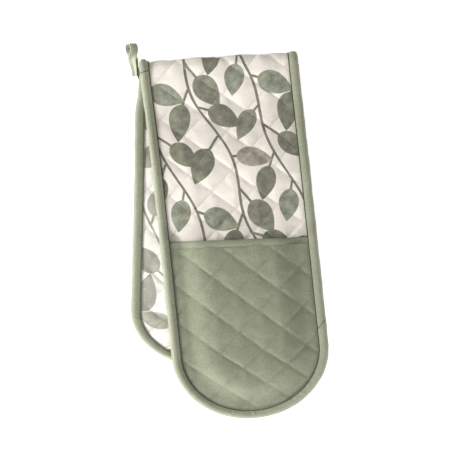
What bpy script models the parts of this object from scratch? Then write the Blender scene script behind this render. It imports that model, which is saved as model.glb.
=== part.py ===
"""Double oven glove, folded in half and lying flat, as a kitchen shop photographs it.

One long quilted band with a round hand pocket on the outside of each end. The band is
folded once, so that the front half lies on the back half. Metres, +Z up, +X along the
fold and -Y from the fold to the hands. The origin is on the surface that the glove lies
on, under the middle of the back pocket's hem, which rests flat on it.

The band is first laid out flat. A flat place is (across, along): along is 0 on the fold,
more than 0 on the front half and less than 0 on the back half. A height over the band's
middle layer is more than 0 on the outside of the folded band, where the pockets are.
"""

import math

import bmesh
import bpy
from mathutils import Vector

# The band, seen flat
band_width = 0.180
front_length = 0.4178
back_length = 0.3585
front_end = 0.077  # length of the round end, which is flatter than a half circle
back_end = 0.064
splay = math.radians(3.7)  # each half leans this far off square to the fold
end_sides = 16  # straight sides that stand in for one round end

# The hand pockets: how far each mouth lies from the fold, along the fabric
front_mouth = 0.2124
back_mouth = 0.1532
hand_room = 0.0052
room_slope = 0.032  # from the binding in to where the pocket stands fully open
hem_depth = 0.0092

# The plies
fabric = 0.0008
ply_gap = 0.0003
band_wadding = 0.0030
pocket_wadding = 0.0016
pressed_share = 0.55  # wadding left under the binding, as a share of its full thickness
press_slope = 0.022  # from the binding in to where the wadding is full
pocket_seat = 0.0003

# The quilting: diamonds stitched through the band and through the pockets
quilt_side = 0.0331
quilt_angle = math.radians(42.0)
quilt_puff = 0.0024  # height of the band's quilting
pocket_puff = 0.0032
band_faint = 0.30  # height left standing on the fainter lines of stitches, as a share
pocket_faint = 0.66
pocket_turn = 0.37  # the fuller lines of a pocket are this share of a diamond further on
quilt_cells = 2  # mesh cells along one side of a diamond
weld_share = 0.09  # corners closer than this share of a mesh cell are made one

# The binding round the raw edge
bind_show = 0.0115
bind_cloth = 0.0009
bind_seat = 0.0005
bind_margin = 0.0100  # flat cloth just inside the binding, before the wadding swells
bind_round = 0.0042
bind_round_sides = 4
bind_step = 0.0125  # between the fold and a pocket's mouth
bind_long_step = 0.0340  # beside a pocket
bind_climb = 0.0180  # the binding rises on to the pocket over this length

# The fold and how the halves lie
fold_radius = 0.0065  # of the band's middle layer
fold_sides = 12
fold_reach = 0.0150  # fabric on each side of the crest that belongs to the fold
piece_gap = 0.0003
lap_gap = 0.0008
settle_length = 0.055  # the front half settles on the back half over this length
climb_start = 0.105  # before the back pocket's mouth, where the back half leaves the table
climb_end = 0.010
droop = 0.0040  # of the front half's end, past the end of the back half
droop_length = 0.080
back_slip = 0.0040  # the back half has slid this far to the left
slip_start = 0.020  # past the fold's bend, clear of the hanging loop's tail
slip_length = 0.035

# The hanging loop, a doubled tape beside the fold's left corner
tape_width = 0.0098
tape_cloth = 0.0013
loop_top = 0.0216  # past the fold
loop_root = -0.0150  # where the two legs meet, measured from the fold
loop_tail = 0.0120
loop_rise = 0.0100  # outside height of the loop where it is widest
loop_sides = 10
tack_thickness = 0.0018
tack_length = 0.0180
tack_height = 0.0026

sage = (0.300, 0.318, 0.218)
sage_binding = (0.296, 0.312, 0.216)
cream = (0.820, 0.770, 0.700)
cream_inside = (0.850, 0.815, 0.770)
wadding_white = (0.820, 0.810, 0.790)

half_width = band_width / 2
edge_inset = bind_round + ply_gap
fold_arc = fold_radius * math.pi / 2  # fabric from the crest to where the bend ends
outer_half = band_wadding / 2 + ply_gap + fabric + quilt_puff
pocket_thickness = fabric + ply_gap + pocket_wadding + ply_gap + fabric + pocket_puff
pocket_lift = pocket_seat + hand_room + pocket_thickness
crest_height = fold_radius + outer_half
lap_height = 2 * outer_half + lap_gap - 2 * fold_radius
fold_square = (-math.sin(splay), math.cos(splay))  # square to the fold, on the flat band


def smooth(share):
    """0 up to 0, 1 from 1 on, with level ends between."""
    share = min(1.0, max(0.0, share))
    return share * share * (3 - 2 * share)


def smooth_rate(share):
    return 6 * share * (1 - share) if 0 < share < 1 else 0.0


def new_collection(name, hidden):
    collection = bpy.data.collections.new(name)
    bpy.context.scene.collection.children.link(collection)
    collection.hide_render = hidden
    return collection


def new_material(name, colour, roughness):
    material = bpy.data.materials.new(name)
    material.use_nodes = True
    shader = material.node_tree.nodes["Principled BSDF"]
    shader.inputs["Base Color"].default_value = (*colour, 1.0)
    shader.inputs["Roughness"].default_value = roughness
    shader.inputs["Metallic"].default_value = 0.0
    material.diffuse_color = (*colour, 1.0)
    return material


# How the flat band is folded

def fold_distance(across, along):
    """How far a flat place lies from the fold line, over the fabric."""
    return along * math.cos(splay) - across * math.sin(splay)


def sideways(across, along):
    return across * math.cos(splay) + along * math.sin(splay)


def along_at(across, distance):
    """Where a line at this distance from the fold crosses the band."""
    return (distance + across * math.sin(splay)) / math.cos(splay)


def end_start(towards):
    """Where the round end of a half starts, measured from the fold."""
    return front_length - front_end if towards > 0 else back_length - back_end


def laid(along):
    """A round end is drawn as a half circle, and this is where it is cut, which is shorter."""
    start = end_start(along)
    beyond = abs(along) - start
    if beyond <= 0:
        return along
    end = front_end if along > 0 else back_end
    return math.copysign(start + beyond * end / half_width, along)


def climb(run):
    """Share of the pocket's height that the band has climbed, and its rate."""
    span = climb_start - climb_end
    start = back_mouth - fold_arc - climb_start
    share = (run - start) / span
    return smooth(share), smooth_rate(share) / span


def middle_height(run, front):
    """Height and slope of the band's middle layer, this far past the bend."""
    lifted, lift_rate = climb(run)
    if not front:
        return crest_height - fold_radius + pocket_lift * lifted, pocket_lift * lift_rate
    settled = run / settle_length
    hanging = (run + fold_arc - back_length) / droop_length
    height = crest_height + fold_radius + lap_height * smooth(settled)
    height += pocket_lift * lifted - droop * smooth(hanging)
    slope = lap_height * smooth_rate(settled) / settle_length
    slope += pocket_lift * lift_rate - droop * smooth_rate(hanging) / droop_length
    return height, slope


def bent(across, along, height):
    """The folded place, measured from under the fold, of a point at a height over the band."""
    along = laid(along)
    distance = fold_distance(across, along)
    front = distance >= 0
    side = 1.0 if front else -1.0
    run = abs(distance) - fold_arc
    if run <= 0:
        turn = distance / fold_radius
        out = Vector((0.0, math.cos(turn), math.sin(turn)))
        middle = Vector((0.0, -fold_radius, crest_height)) + fold_radius * out
    else:
        level, slope = middle_height(run, front)
        out = Vector((0.0, side * slope, side)).normalized()
        middle = Vector((0.0, -fold_radius - run, level))
    slip = 0.0 if front else back_slip * smooth((run - slip_start) / slip_length)
    return middle + height * out + Vector((sideways(across, along) - slip, 0.0, 0.0))


def rest_place():
    """Where the middle of the back pocket's hem lies, measured from under the fold."""
    hem_middle = along_at(0.0, -back_mouth - hem_depth / 2)
    place = bent(0.0, hem_middle, 0.0)
    place.z = 0.0
    return place


def folded(across, along, height):
    """The place in the folded glove of a point at a height over the flat band."""
    return bent(across, along, height) - rest_place()


def edge_distance(across, along):
    """Distance in from the band's outline, which is drawn with two half circles."""
    beyond = max(0.0, abs(along) - end_start(along))
    return half_width - math.hypot(across, beyond)


# Heights of the plies over the middle layer

def openness(across, along, slope):
    return smooth((edge_distance(across, along) - bind_show - bind_margin) / slope)


def pressed(across, along):
    return pressed_share + (1 - pressed_share) * openness(across, along, press_slope)


def quilt(across, along, turned, faint):
    """Height of the quilting as a share: 0 on the fuller lines of stitches, faint on the others."""
    left = across / (2 * math.cos(quilt_angle))
    down = along / (2 * math.sin(quilt_angle))
    shares = [(left + down) / quilt_side, (left - down) / quilt_side + turned]
    crown = [1 - abs(1 - 2 * (share % 1.0)) for share in shares]
    return (faint + (1 - faint) * crown[0]) * crown[1] * openness(across, along, press_slope)


def wadding_top(across, along):
    return band_wadding / 2 * pressed(across, along)


def band_wadding_ply(across, along):
    top = wadding_top(across, along)
    return -top, top


def outer_ply(across, along):
    low = wadding_top(across, along) + ply_gap
    return low, low + fabric + quilt_puff * quilt(across, along, 0.0, band_faint)


def inner_ply(across, along):
    low, high = outer_ply(across, along)
    return -high, -low


def pocket_base(across, along):
    """Underside of the pocket, over the band and the room for the hand."""
    full = quilt_puff * openness(across, along, press_slope)
    over_band = wadding_top(across, along) + ply_gap + fabric + full
    return over_band + pocket_seat + hand_room * openness(across, along, room_slope)


def pocket_lining_ply(across, along):
    low = pocket_base(across, along)
    return low, low + fabric


def pocket_wadding_ply(across, along):
    low = pocket_base(across, along) + fabric + ply_gap
    return low, low + pocket_wadding * pressed(across, along)


def pocket_outer_ply(across, along):
    low = pocket_wadding_ply(across, along)[1] + ply_gap
    return low, low + fabric + pocket_puff * quilt(across, along, pocket_turn, pocket_faint)


def pocket_hem_ply(across, along):
    high = pocket_wadding_ply(across, along)[1] + ply_gap + fabric
    full = pocket_puff * openness(across, along, press_slope)
    return pocket_base(across, along), high + full


# Flat cutting of the plies

def stitch_lattice(turned):
    """A flat mesh over the whole band, with edges on every line of stitches."""
    cell = quilt_side / quilt_cells
    reach = max(front_length, back_length) / math.sin(quilt_angle) + band_width
    cells = 2 * round(quilt_cells * math.ceil(reach / quilt_side / 2))
    mesh = bmesh.new()
    bmesh.ops.create_grid(mesh, x_segments=cells, y_segments=cells, size=cells / 2)
    for corner in mesh.verts:
        first, second = round(corner.co.x), round(corner.co.y) - turned * quilt_cells
        corner.co.x = (first + second) * cell * math.cos(quilt_angle)
        corner.co.y = (first - second) * cell * math.sin(quilt_angle)
    return mesh


def keep_below(mesh, place, outward, drop=True):
    """Cuts the flat mesh along a line, and drops what lies outward of it."""
    whole = mesh.verts[:] + mesh.edges[:] + mesh.faces[:]
    bmesh.ops.bisect_plane(
        mesh,
        geom=whole,
        plane_co=Vector((*place, 0.0)),
        plane_no=Vector((*outward, 0.0)),
        clear_outer=drop,
    )


def fold_stops():
    """Distances from the crest at which the bend is divided."""
    return [fold_reach * (2 * step / fold_sides - 1) for step in range(fold_sides + 1)]


def cut_ply(near, far, turned):
    """The flat shape of one ply between two distances from the fold, or to the round end."""
    mesh = stitch_lattice(turned)
    radius = half_width - edge_inset
    for side in (-1.0, 1.0):
        keep_below(mesh, (side * radius, 0.0), (side, 0.0))
    for distance, sign in ((near, -1.0), (far, 1.0)):
        if distance is not None:
            outward = (fold_square[0] * sign, fold_square[1] * sign)
            keep_below(mesh, (0.0, along_at(0.0, distance)), outward)
    if near is None or far is None:
        towards = 1.0 if far is None else -1.0
        centre = end_start(towards)
        apothem = radius * math.cos(math.pi / end_sides / 2)
        for side in range(end_sides):
            angle = math.pi * (side + 0.5) / end_sides
            outward = (math.cos(angle), towards * math.sin(angle))
            place = (apothem * outward[0], towards * centre + apothem * outward[1])
            keep_below(mesh, place, outward)
    else:
        for distance in fold_stops()[1:-1]:
            keep_below(mesh, (0.0, along_at(0.0, distance)), fold_square, False)
    bmesh.ops.remove_doubles(mesh, verts=mesh.verts, dist=weld_share * quilt_side / quilt_cells)
    return mesh


def finish_object(name, mesh, material, collection):
    bmesh.ops.recalc_face_normals(mesh, faces=mesh.faces)
    if mesh.calc_volume(signed=True) < 0:
        bmesh.ops.reverse_faces(mesh, faces=mesh.faces)
    data = bpy.data.meshes.new(name)
    mesh.to_mesh(data)
    mesh.free()
    data.materials.append(material)
    data.shade_smooth()
    piece = bpy.data.objects.new(name, data)
    collection.objects.link(piece)
    return piece


def make_ply(name, near, far, heights, material, collection, turned=0.0):
    """A ply of the band or of a pocket: cut flat, given its thickness and folded."""
    mesh = cut_ply(near, far, turned)
    bmesh.ops.triangulate(mesh, faces=mesh.faces)
    bmesh.ops.solidify(mesh, geom=mesh.faces[:], thickness=fabric)
    middle = sum(corner.co.z for corner in mesh.verts) / len(mesh.verts)
    for corner in mesh.verts:
        across, along = corner.co.x, corner.co.y
        low, high = heights(across, along)
        corner.co = folded(across, along, high if corner.co.z > middle else low)
    return finish_object(name, mesh, material, collection)


# The binding

def bind_faces(distance):
    """Heights of the outside and inside faces that the binding covers, this far along."""
    edge = band_wadding / 2 * pressed_share + ply_gap + fabric
    mouth = front_mouth if distance > 0 else back_mouth
    share = (abs(distance) - mouth + bind_climb) / bind_climb
    pocket = 2 * (fabric + ply_gap) + pocket_wadding * pressed_share
    outside = edge + (pocket_seat + pocket) * min(1.0, max(0.0, share))
    return outside + bind_seat, edge + bind_seat


def bind_section(distance):
    """The binding's middle line in its cross-section, as (distance in, height)."""
    outside, inside = bind_faces(distance)
    outside += bind_cloth / 2
    inside += bind_cloth / 2
    centre, reach = (outside - inside) / 2, (outside + inside) / 2
    depth = bind_round - bind_cloth / 2
    section = [(bind_show, outside)]
    for step in range(bind_round_sides + 1):
        angle = math.pi * step / bind_round_sides
        inward = bind_round - depth * math.sin(angle)
        section.append((inward, centre + reach * math.cos(angle)))
    section.append((bind_show, -inside))
    return section


def straight_stops(first, last, mouth):
    """Stops down one straight side, closest where the band rises to the mouth of a pocket."""
    stretches = (
        (first, mouth - bind_climb, bind_step),
        (mouth - bind_climb, mouth, bind_step),
        (mouth, last, bind_long_step),
    )
    places = [first]
    for low, high, longest in stretches:
        count = max(1, math.ceil((high - low) / longest))
        places += [low + (high - low) * step / count for step in range(1, count + 1)]
    return places


def strip_object(name, rows, material, collection):
    """A cloth strip through rows of points, given its thickness on both sides of them."""
    mesh = bmesh.new()
    columns = len(rows[0])
    bmesh.ops.create_grid(mesh, x_segments=columns - 1, y_segments=len(rows) - 1, size=0.5)
    for corner in mesh.verts:
        column = round((corner.co.x + 0.5) * (columns - 1))
        row = round((corner.co.y + 0.5) * (len(rows) - 1))
        corner.co = rows[row][column]
    piece = finish_object(name, mesh, material, collection)
    wall = piece.modifiers.new("cloth", "SOLIDIFY")
    wall.thickness = bind_cloth
    wall.offset = 0.0
    wall.use_even_offset = True
    return piece


def half_binding(name, front, material, collection):
    """The binding of one half: down one side, round the end and up the other side."""
    towards = 1.0 if front else -1.0
    mouth = front_mouth if front else back_mouth
    centre = end_start(towards)
    nearest = fold_reach + piece_gap
    rows = []

    def side_rows(side, backwards):
        first = nearest
        last = centre - half_width * math.sin(math.pi / end_sides) / 2
        for run in sorted(straight_stops(first, last, mouth), reverse=backwards):
            lean = 1 - (run - first) / (last - first)
            row = []
            for inward, height in bind_section(towards * run):
                across = side * (half_width - inward)
                square = side * half_width * lean + across * (1 - lean)
                along = along_at(side * half_width, towards * run)
                along += (across - square) * math.tan(splay)
                row.append(folded(across, along, height))
            rows.append(row)

    side_rows(-1.0, False)
    for step in range(1, end_sides):
        angle = math.pi * step / end_sides
        row = []
        for inward, height in bind_section(towards * centre):
            radius = half_width - inward
            across = -radius * math.cos(angle)
            along = towards * (centre + radius * math.sin(angle))
            row.append(folded(across, along, height))
        rows.append(row)
    side_rows(1.0, True)
    return strip_object(name, rows, material, collection)


def fold_binding(name, side, material, collection):
    """The short stretch of binding that turns over the fold."""
    rows = []
    for distance in fold_stops():
        row = []
        for inward, height in bind_section(distance):
            across = side * (half_width - inward)
            row.append(folded(across, along_at(across, distance), height))
        rows.append(row)
    return strip_object(name, rows, material, collection)


# The hanging loop

def loop_outline():
    """Half heights of the loop's outside, from its tail to its top, as (along +Y, half height)."""
    tail = loop_root - loop_tail
    widest = loop_top - loop_rise / 2
    points = [(tail, tape_cloth), (loop_root, tape_cloth)]
    for step in range(1, loop_sides + 1):
        share = step / loop_sides
        rise = tape_cloth + (loop_rise / 2 - tape_cloth) * smooth(share)
        points.append((loop_root + (widest - loop_root) * share, rise))
    for step in range(1, loop_sides + 1):
        angle = math.pi / 2 * step / loop_sides
        points.append((widest + loop_rise / 2 * math.sin(angle), loop_rise / 2 * math.cos(angle)))
    return points


def flat_spline(curve, points):
    spline = curve.splines.new("POLY")
    spline.points.add(len(points) - 1)
    for point, (first, second) in zip(spline.points, points):
        point.co = (first, second, 0.0, 1.0)
    spline.use_cyclic_u = True


def closed_outline(points, floor):
    """A whole outline from its upper half, leaving out points that would coincide."""
    upper = [point for point in points if point[1] > floor]
    lower = [(along, -rise) for along, rise in reversed(upper)]
    return upper, lower


def make_loop(name, material, collection):
    """The tape seen from its side, with its hole, given the tape's width."""
    outline = loop_outline()
    upper, lower = closed_outline(outline, tape_cloth / 100)
    curve = bpy.data.curves.new(name, "CURVE")
    curve.dimensions = "2D"
    curve.fill_mode = "BOTH"
    curve.extrude = tape_width / 2
    tip = [(loop_top, 0.0)]
    flat_spline(curve, upper + tip + lower)
    inside = [(along, rise - tape_cloth) for along, rise in outline[2:-loop_sides]]
    round_end = loop_rise / 2 - tape_cloth
    widest = loop_top - loop_rise / 2
    for step in range(1, loop_sides):
        angle = math.pi / 2 * step / loop_sides
        inside.append((widest + round_end * math.sin(angle), round_end * math.cos(angle)))
    hole_start = [(loop_root + tape_cloth, 0.0)]
    hole_tip = [(widest + round_end, 0.0)]
    hole_upper = [point for point in inside if point[1] > tape_cloth / 10]
    hole_lower = [(along, -rise) for along, rise in reversed(hole_upper)]
    flat_spline(curve, hole_start + hole_upper + hole_tip + hole_lower)
    guide = bpy.data.objects.new(name + "_outline", curve)
    collection.objects.link(guide)
    bpy.context.view_layer.update()
    data = bpy.data.meshes.new_from_object(guide.evaluated_get(bpy.context.evaluated_depsgraph_get()))
    bpy.data.objects.remove(guide)
    data.name = name
    mesh = bmesh.new()
    mesh.from_mesh(data)
    bmesh.ops.remove_doubles(mesh, verts=mesh.verts, dist=ply_gap / 10)
    for corner in mesh.verts:
        along, rise, across = corner.co
        corner.co = (across, along - loop_root, rise)
    bmesh.ops.recalc_face_normals(mesh, faces=mesh.faces)
    mesh.to_mesh(data)
    mesh.free()
    data.materials.clear()
    data.materials.append(material)
    piece = bpy.data.objects.new(name, data)
    piece.location = loop_hinge()
    collection.objects.link(piece)
    return piece


def make_tack(name, material, collection):
    """The stitched tab that holds the loop's ends against the binding at the fold's corner."""
    mesh = bmesh.new()
    bmesh.ops.create_cube(mesh, size=1.0)
    size = (tack_thickness, tack_length, tack_height)
    bmesh.ops.scale(mesh, vec=size, verts=mesh.verts)
    across = corner_left() - piece_gap - tack_thickness / 2
    place = Vector((across, -tack_length / 2, crest_height)) - rest_place()
    bmesh.ops.translate(mesh, vec=place, verts=mesh.verts)
    bmesh.ops.bevel(mesh, geom=mesh.edges[:], offset=tack_thickness / 4, segments=1)
    return finish_object(name, mesh, material, collection)


def corner_left():
    """Sideways place of the binding's outside at the fold's left corner."""
    return sideways(-half_width, along_at(-half_width, 0.0))


def loop_hinge():
    across = corner_left() - piece_gap - tack_thickness - piece_gap - tape_width / 2
    return Vector((across, loop_root, crest_height)) - rest_place()


def main():
    for item in list(bpy.data.objects):
        bpy.data.objects.remove(item)
    parts = new_collection("double_oven_glove", False)
    print_outside = new_material("print_outside", cream, 0.85)
    print_inside = new_material("print_inside", cream_inside, 0.85)
    pocket_cloth = new_material("pocket_cloth", sage, 0.85)
    lining_cloth = new_material("lining_cloth", sage_binding, 0.85)
    binding_cloth = new_material("binding_cloth", sage_binding, 0.8)
    wadding = new_material("wadding", wadding_white, 0.95)

    band_plies = (
        ("outer_panel", outer_ply, print_outside),
        ("wadding", band_wadding_ply, wadding),
        ("inner_panel", inner_ply, print_inside),
    )
    pocket_plies = (
        ("pocket_outer", pocket_outer_ply, pocket_cloth),
        ("pocket_wadding", pocket_wadding_ply, wadding),
        ("pocket_lining", pocket_lining_ply, lining_cloth),
    )
    start = fold_reach + piece_gap
    for half, towards, mouth in (("front", 1.0, front_mouth), ("back", -1.0, back_mouth)):
        for ply, heights, material in band_plies:
            ends = (start, None) if towards > 0 else (None, -start)
            make_ply(f"{half}_{ply}", *ends, heights, material, parts)
        hemmed = mouth + hem_depth
        for ply, heights, material in pocket_plies:
            near = hemmed + piece_gap
            ends = (near, None) if towards > 0 else (None, -near)
            make_ply(f"{half}_{ply}", *ends, heights, material, parts, pocket_turn)
        ends = (mouth, hemmed) if towards > 0 else (-hemmed, -mouth)
        make_ply(f"{half}_pocket_hem", *ends, pocket_hem_ply, pocket_cloth, parts)
        half_binding(f"{half}_binding", towards > 0, binding_cloth, parts)
    for ply, heights, material in band_plies:
        make_ply(f"fold_{ply}", -fold_reach, fold_reach, heights, material, parts)
    fold_binding("fold_binding_left", -1.0, binding_cloth, parts)
    fold_binding("fold_binding_right", 1.0, binding_cloth, parts)
    make_loop("hanging_loop", binding_cloth, parts)
    make_tack("loop_tack", binding_cloth, parts)


main()
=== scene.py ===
# %% [markdown]
# # A double oven glove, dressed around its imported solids
#
# A double oven glove is one long quilted band with a hand pocket on each end. Here it is
# folded once and lies flat, the front half on the back half. The solids give every piece its
# place. Each cloth is made the way a sewer makes it: cut flat, quilted, given its thickness
# and then folded with the rest.

import math

import bmesh
import bpy
import numpy as np
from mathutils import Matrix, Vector, kdtree


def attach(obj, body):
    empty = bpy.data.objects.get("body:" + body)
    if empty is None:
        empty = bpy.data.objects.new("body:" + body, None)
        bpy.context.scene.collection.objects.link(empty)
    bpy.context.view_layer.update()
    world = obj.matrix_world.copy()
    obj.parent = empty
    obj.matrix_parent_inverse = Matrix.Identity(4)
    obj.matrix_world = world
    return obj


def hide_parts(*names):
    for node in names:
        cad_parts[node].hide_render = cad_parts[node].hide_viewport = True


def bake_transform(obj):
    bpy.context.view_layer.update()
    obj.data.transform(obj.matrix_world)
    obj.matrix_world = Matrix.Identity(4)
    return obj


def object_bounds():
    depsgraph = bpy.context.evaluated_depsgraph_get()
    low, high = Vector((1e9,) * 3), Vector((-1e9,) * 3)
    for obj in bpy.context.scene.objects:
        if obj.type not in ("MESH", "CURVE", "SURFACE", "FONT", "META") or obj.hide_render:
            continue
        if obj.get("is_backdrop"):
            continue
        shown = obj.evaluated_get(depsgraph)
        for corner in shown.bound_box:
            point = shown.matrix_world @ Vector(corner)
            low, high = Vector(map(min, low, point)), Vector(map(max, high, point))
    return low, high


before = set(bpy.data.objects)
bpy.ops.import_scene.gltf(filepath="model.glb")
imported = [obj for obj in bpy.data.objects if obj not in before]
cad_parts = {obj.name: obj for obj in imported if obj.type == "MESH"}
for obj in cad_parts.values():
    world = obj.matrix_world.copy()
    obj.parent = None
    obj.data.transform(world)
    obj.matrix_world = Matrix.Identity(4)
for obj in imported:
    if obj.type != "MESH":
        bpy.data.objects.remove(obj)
cad_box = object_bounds()

# %% [markdown]
# ## The glove's own sizes
#
# These are the sizes that the solids were made from. They could be measured from the loaded
# nodes, but a flat pattern with named sizes is easier to read, and cloth that is laid out by
# the same sizes fits its solid with no fitting.

# %% Sizes of the band, the pockets and the plies
# Lengths are in metres, and angles in radians.
band_width = 0.180
front_length, back_length = 0.4178, 0.3585
front_end, back_end = 0.077, 0.064
splay = math.radians(3.7)
front_mouth, back_mouth = 0.2124, 0.1532
hand_room, room_slope, hem_depth = 0.0052, 0.032, 0.0092
fabric, ply_gap = 0.0008, 0.0003
band_wadding, pocket_wadding = 0.0030, 0.0016
pressed_share, press_slope, pocket_seat = 0.55, 0.022, 0.0003
quilt_side, quilt_angle = 0.0331, math.radians(42.0)
quilt_puff, pocket_puff = 0.0024, 0.0032
band_faint, pocket_faint, pocket_turn = 0.10, 0.34, 0.37
bind_show, bind_cloth, bind_seat = 0.0115, 0.0009, 0.0005
bind_margin, bind_round, bind_climb = 0.0100, 0.0042, 0.0180
fold_radius, fold_reach, lap_gap = 0.0065, 0.0150, 0.0008
settle_length, climb_start, climb_end = 0.055, 0.105, 0.010
droop, droop_length = 0.0040, 0.080
back_slip, slip_start, slip_length = 0.0040, 0.020, 0.035
skew_length, skew_out, skew_aside, skew_down, skew_up = 0.150, 0.0022, 0.0006, 0.0046, 0.0008

half_width = band_width / 2
fold_arc = fold_radius * math.pi / 2
outer_half = band_wadding / 2 + ply_gap + fabric + quilt_puff
pocket_thickness = fabric + ply_gap + pocket_wadding + ply_gap + fabric + pocket_puff
pocket_lift = pocket_seat + hand_room + pocket_thickness
crest_height = fold_radius + outer_half
lap_height = 2 * outer_half + lap_gap - 2 * fold_radius
print("band:", band_width, "m wide,", round(front_length + back_length, 3), "m long")

# %% [markdown]
# ## From the flat pattern to the folded glove
#
# A flat place is (across, along): along is 0 on the fold, more than 0 on the front half and
# less than 0 on the back half. A Simple Deform or a lattice could bend the cloth, but neither
# keeps its length at a fold this tight. A function that rolls the flat pattern round the fold
# does, and every ply, tape and stitch can be sent through the same one. Its last step leans
# the crest a little, because nobody folds a glove quite square.

# %% Where a flat place comes to lie
def smooth(share):
    share = np.clip(share, 0.0, 1.0)
    return share * share * (3 - 2 * share)


def smooth_rate(share):
    return np.where((share > 0) & (share < 1), 6 * share * (1 - share), 0.0)


def fold_distance(across, along):
    return along * math.cos(splay) - across * math.sin(splay)


def along_at(across, distance):
    return (distance + across * math.sin(splay)) / math.cos(splay)


def end_start(along):
    return np.where(along > 0, front_length - front_end, back_length - back_end)


def laid(along):
    """A round end is drawn as a half circle and cut flatter than that."""
    beyond = np.abs(along) - end_start(along)
    end = np.where(along > 0, front_end, back_end)
    cut = end_start(along) + beyond * end / half_width
    return np.where(beyond > 0, np.copysign(cut, along), along)


def middle_height(run, front):
    """Height and slope of the band's middle layer, this far past the fold's bend."""
    span = climb_start - climb_end
    share = (run - back_mouth + fold_arc + climb_start) / span
    lifted, lift_rate = smooth(share), smooth_rate(share) / span
    settled, hanging = run / settle_length, (run + fold_arc - back_length) / droop_length
    over = crest_height + fold_radius + lap_height * smooth(settled) - droop * smooth(hanging)
    over_slope = lap_height * smooth_rate(settled) / settle_length
    over_slope = over_slope - droop * smooth_rate(hanging) / droop_length
    level = np.where(front, over, crest_height - fold_radius) + pocket_lift * lifted
    return level, np.where(front, over_slope, 0.0) + pocket_lift * lift_rate


def bent(across, along, height):
    along = laid(along)
    distance = fold_distance(across, along)
    front = distance >= 0
    side = np.where(front, 1.0, -1.0)
    run = np.abs(distance) - fold_arc
    turn = np.clip(distance, -fold_arc, fold_arc) / fold_radius
    level, slope = middle_height(run, front)
    flat = run > 0
    out_y = np.where(flat, side * slope, np.cos(turn))
    out_z = np.where(flat, side, np.sin(turn))
    size = np.hypot(out_y, out_z)
    y = np.where(flat, -fold_radius - run, fold_radius * np.cos(turn) - fold_radius)
    z = np.where(flat, level, crest_height + fold_radius * np.sin(turn))
    slip = np.where(front, 0.0, back_slip * smooth((run - slip_start) / slip_length))
    x = across * math.cos(splay) + along * math.sin(splay) - slip
    return np.stack([x, y + height * out_y / size, z + height * out_z / size], axis=-1)


hem_middle = along_at(0.0, -back_mouth - hem_depth / 2)
rest_place = bent(np.array(0.0), np.array(hem_middle), np.array(0.0)) * (1, 1, 0)
crest = -rest_place


def skewed(points):
    """The crest isn't folded quite square: it slopes, and its left end leans out."""
    near = smooth(1 + (points[..., 1] - crest[1]) / skew_length)
    left = 0.5 - points[..., 0] / (2 * half_width)
    points[..., 0] -= near * (skew_out * left + skew_aside)
    points[..., 1] -= near**2 * (skew_down * left - skew_up)
    return points


def folded(across, along, height):
    across, along, height = np.broadcast_arrays(across, along, height)
    return skewed(bent(across, along, height) - rest_place)


print("the fold's crest is at", crest.round(4))

# %% [markdown]
# ## Heights of the cloth
#
# The plies are pressed thin at the edge, where the binding holds them, and stand up between
# the lines of quilting. A sculpted mesh would show that too, but a height that is worked out
# from the flat place lets the cloth, its wadding and its stitches agree everywhere. One of
# the two families of lines is pulled tight and the other is faint, and each diamond has a
# crown of its own that leans a little, as hand-fed quilting has.

# %% How far the cloth stands over the band's middle layer
cloth_margin = 0.0006  # the cloth starts to rise this far inside the tape
cloth_slope = 0.0150
rise_bend = 0.6  # below 1 the cloth rises steeply at first
crown_bend, crown_lean, crown_uneven = 0.60, 0.30, 0.18
cross_lean, cross_uneven = -0.32, 0.14  # the same between the lines of the other family
ripple_height = 0.00035
ripple_waves, ripple_shortest, ripple_longest = 7, 0.016, 0.075
hem_stitch = 0.0083  # from a pocket's mouth to the stitches of its hem
hem_slope = 0.012
pocket_fill = 0.66  # the pocket's wadding is a little flatter than its solid
pocket_full = pocket_fill * pocket_puff


def edge_distance(across, along):
    beyond = np.maximum(0.0, np.abs(along) - end_start(along))
    return half_width - np.hypot(across, beyond)


def openness(across, along, slope):
    return smooth((edge_distance(across, along) - bind_show - bind_margin) / slope)


def swelling(across, along):
    """0 under the tape, and 1 where the wadding stands up freely between its stitches."""
    inside = np.maximum(0.0, edge_distance(across, along) - bind_show - cloth_margin)
    return np.minimum(1.0, inside / cloth_slope) ** rise_bend


def lattice(across, along, turned):
    """The place in the diamonds, where a whole number is on a line of stitches."""
    left = across / (2 * math.cos(quilt_angle))
    down = along / (2 * math.sin(quilt_angle))
    return (left + down) / quilt_side, (left - down) / quilt_side + turned


def pillow(share, lean):
    """A rounded crown between two lines of stitches, which leans to one side."""
    within = share % 1.0
    shifted = within ** (1.0 + lean)
    return np.abs(np.sin(math.pi * shifted)) ** crown_bend


def cell_chance(first, second, seed):
    """A number from -1 to 1 for each diamond, the same all over it."""
    mixed = np.sin(np.floor(first) * 12.9898 + np.floor(second) * 78.233 + seed) * 43758.5453
    return 2 * (mixed % 1.0) - 1


def quilt(across, along, turned, faint, seed=0.0):
    """Height of the quilting, as a share of its full height. The faint lines lie higher."""
    first, second = lattice(across, along, turned)
    lean = crown_lean * cell_chance(first, second, seed)
    level = 1 + crown_uneven * cell_chance(first, second, seed + 4.1)
    ridge = faint + (1 - faint) * pillow(first, lean) * level
    return ridge * pillow(second, cross_lean + cross_uneven * cell_chance(first, second, seed + 9.7))


def ripple(across, along, seed):
    """Soft unevenness of washed cloth, from a few crossing waves."""
    rng = np.random.default_rng(seed)
    total = np.zeros(np.broadcast(across, along).shape)
    for _ in range(ripple_waves):
        angle, phase = rng.uniform(0, 2 * math.pi, 2)
        length = rng.uniform(ripple_shortest, ripple_longest)
        run = across * math.cos(angle) + along * math.sin(angle)
        total += np.sin(run * 2 * math.pi / length + phase)
    return total / ripple_waves


def pressed(across, along):
    """The share of its full thickness that a wadding keeps, which is least under the tape."""
    return pressed_share + (1 - pressed_share) * openness(across, along, press_slope)


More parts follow.
